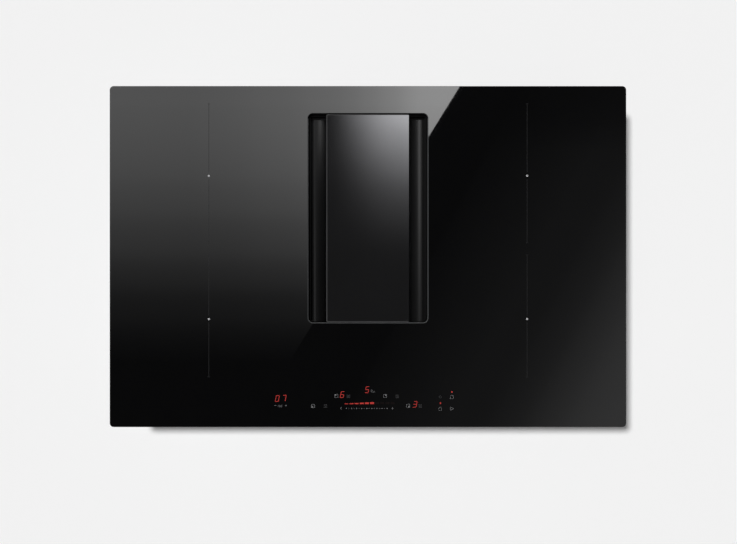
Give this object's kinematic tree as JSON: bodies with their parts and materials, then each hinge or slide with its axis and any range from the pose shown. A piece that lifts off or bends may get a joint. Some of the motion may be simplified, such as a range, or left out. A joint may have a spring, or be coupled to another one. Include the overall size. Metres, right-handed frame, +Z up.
{
  "type": "downdraft induction cooktop",
  "caption": "Built-in black glass induction cooktop with a central downdraft inlet, fan housing and duct outlet below.",
  "frame": {"origin": "centre of the glass outline, on the worktop's top face where the gasket lies", "axes": "+X to the cook's right, +Y to the back, +Z up out of the worktop"},
  "size_m": [0.78, 0.515, 0.211],
  "materials": {
    "black_glass": "polished glass-ceramic, ground edge",
    "foam_gasket": "closed-cell foam",
    "black_plastic": "moulded, satin",
    "guide_plastic": "moulded, half gloss",
    "soft_rubber": "matt",
    "galvanised_sheet": "zinc-coated sheet",
    "zinc_screw": "bright zinc",
    "copper_wire": "enamelled litz wire",
    "former_plastic": "moulded",
    "ferrite": "sintered",
    "mica": "pressed sheet",
    "aluminium_sheet": "mill finish",
    "post_plastic": "moulded nylon",
    "sensor_silicone": "silicone",
    "circuit_board": "glass-fibre laminate",
    "capacitor_sleeve": "sleeved can",
    "choke_core": "epoxy coated ring",
    "fan_plastic": "moulded",
    "tray_plastic": "moulded",
    "led_red": "diffusing lens",
    "touch_spring": "plated spring",
    "housing_plastic": "moulded, fine texture",
    "motor_steel": "zinc plated",
    "impeller_plastic": "glass-filled nylon",
    "odour_frame_plastic": "moulded",
    "carbon": "activated-carbon honeycomb",
    "filter_aluminium": "anodised",
    "handle_wire": "stainless wire",
    "panel_black": "black satin, fine lengthwise brushing"
  },
  "bodies": {
    "chassis": {"glass_top": "black_glass", "worktop_gasket": "foam_gasket", "inlet_collar": "black_plastic", "duct_collar": "black_plastic", "collar_seal": "soft_rubber", "base_pan": "galvanised_sheet", "pan_walls": "galvanised_sheet", "clamp_brackets": "galvanised_sheet", "clamp_screws": "zinc_screw", "housing_screws": "zinc_screw", "motor_screws": "zinc_screw", "terminal_screws": "zinc_screw", "coil_rear_left": "copper_wire", "coil_front_left": "copper_wire", "coil_rear_right": "copper_wire", "coil_front_right": "copper_wire", "former_rear_left": "former_plastic", "former_front_left": "former_plastic", "former_rear_right": "former_plastic", "former_front_right": "former_plastic", "ferrite_bars": "ferrite", "mica_sheets": "mica", "carrier_plates": "aluminium_sheet", "heatsink_left": "aluminium_sheet", "heatsink_right": "aluminium_sheet", "carrier_posts": "post_plastic", "terminal_block": "post_plastic", "temperature_sensors": "sensor_silicone", "power_board_left": "circuit_board", "power_board_right": "circuit_board", "touch_board": "circuit_board", "board_capacitors": "capacitor_sleeve", "board_chokes": "choke_core", "cooling_fan_frame_left": "fan_plastic", "cooling_fan_frame_right": "fan_plastic", "touch_tray": "tray_plastic", "terminal_box": "tray_plastic", "terminal_cover": "tray_plastic", "cable_inlet": "tray_plastic", "led_displays": "led_red", "touch_pads": "touch_spring", "housing_upper": "housing_plastic", "housing_lower": "housing_plastic", "housing_floor": "housing_plastic", "scroll_housing": "housing_plastic", "inlet_plate": "housing_plastic", "motor_stator": "motor_steel"},
    "air_guide": {"air_guide": "guide_plastic"},
    "centre_panel": {"centre_panel": "panel_black", "panel_feet": "soft_rubber"},
    "grease_filter": {"grease_filter_frame": "filter_aluminium", "grease_filter_mesh": "filter_aluminium"},
    "filter_bail": {"filter_handle": "handle_wire"},
    "drip_tray": {"drip_tray": "housing_plastic"},
    "odour_filter": {"odour_filter_frame": "odour_frame_plastic", "odour_filter_block": "carbon"},
    "impeller": {"impeller": "impeller_plastic", "motor_rotor": "motor_steel"},
    "fan_rotor_left": {"cooling_fan_rotor_left": "fan_plastic"},
    "fan_rotor_right": {"cooling_fan_rotor_right": "fan_plastic"}
  },
  "joints": [
    {"name": "air_guide_lift", "type": "slide", "parent": "chassis", "child": "air_guide", "axis": [0, 0, 1], "range_m": [0, 0.07]},
    {"name": "centre_panel_lift", "type": "slide", "parent": "air_guide", "child": "centre_panel", "axis": [0, 0, 1], "range_m": [0, 0.15]},
    {"name": "grease_filter_lift", "type": "slide", "parent": "air_guide", "child": "grease_filter", "axis": [0, 0, 1], "range_m": [0, 0.075]},
    {"name": "filter_bail_fold", "type": "hinge", "parent": "grease_filter", "child": "filter_bail", "pos_m": [0, 0.058, -0.0305], "axis": [-1, 0, 0], "range_deg": [0, 90]},
    {"name": "drip_tray_slide", "type": "slide", "parent": "chassis", "child": "drip_tray", "axis": [0, -1, 0], "range_m": [0, 0.35]},
    {"name": "odour_filter_slide", "type": "slide", "parent": "chassis", "child": "odour_filter", "axis": [-1, 0, 0], "range_m": [0, 0.035]},
    {"name": "impeller_spin", "type": "hinge", "parent": "chassis", "child": "impeller", "pos_m": [0.22, 0.058, -0.15], "axis": [0, 0, 1], "continuous": true},
    {"name": "fan_spin_left", "type": "hinge", "parent": "chassis", "child": "fan_rotor_left", "pos_m": [-0.29, -0.19, -0.045], "axis": [0, 0, 1], "continuous": true},
    {"name": "fan_spin_right", "type": "hinge", "parent": "chassis", "child": "fan_rotor_right", "pos_m": [0.29, -0.19, -0.045], "axis": [0, 0, 1], "continuous": true}
  ],
  "couplings": [
    {"joint": "grease_filter_lift", "follows": "centre_panel_lift", "ratio": 0.5}
  ]
}
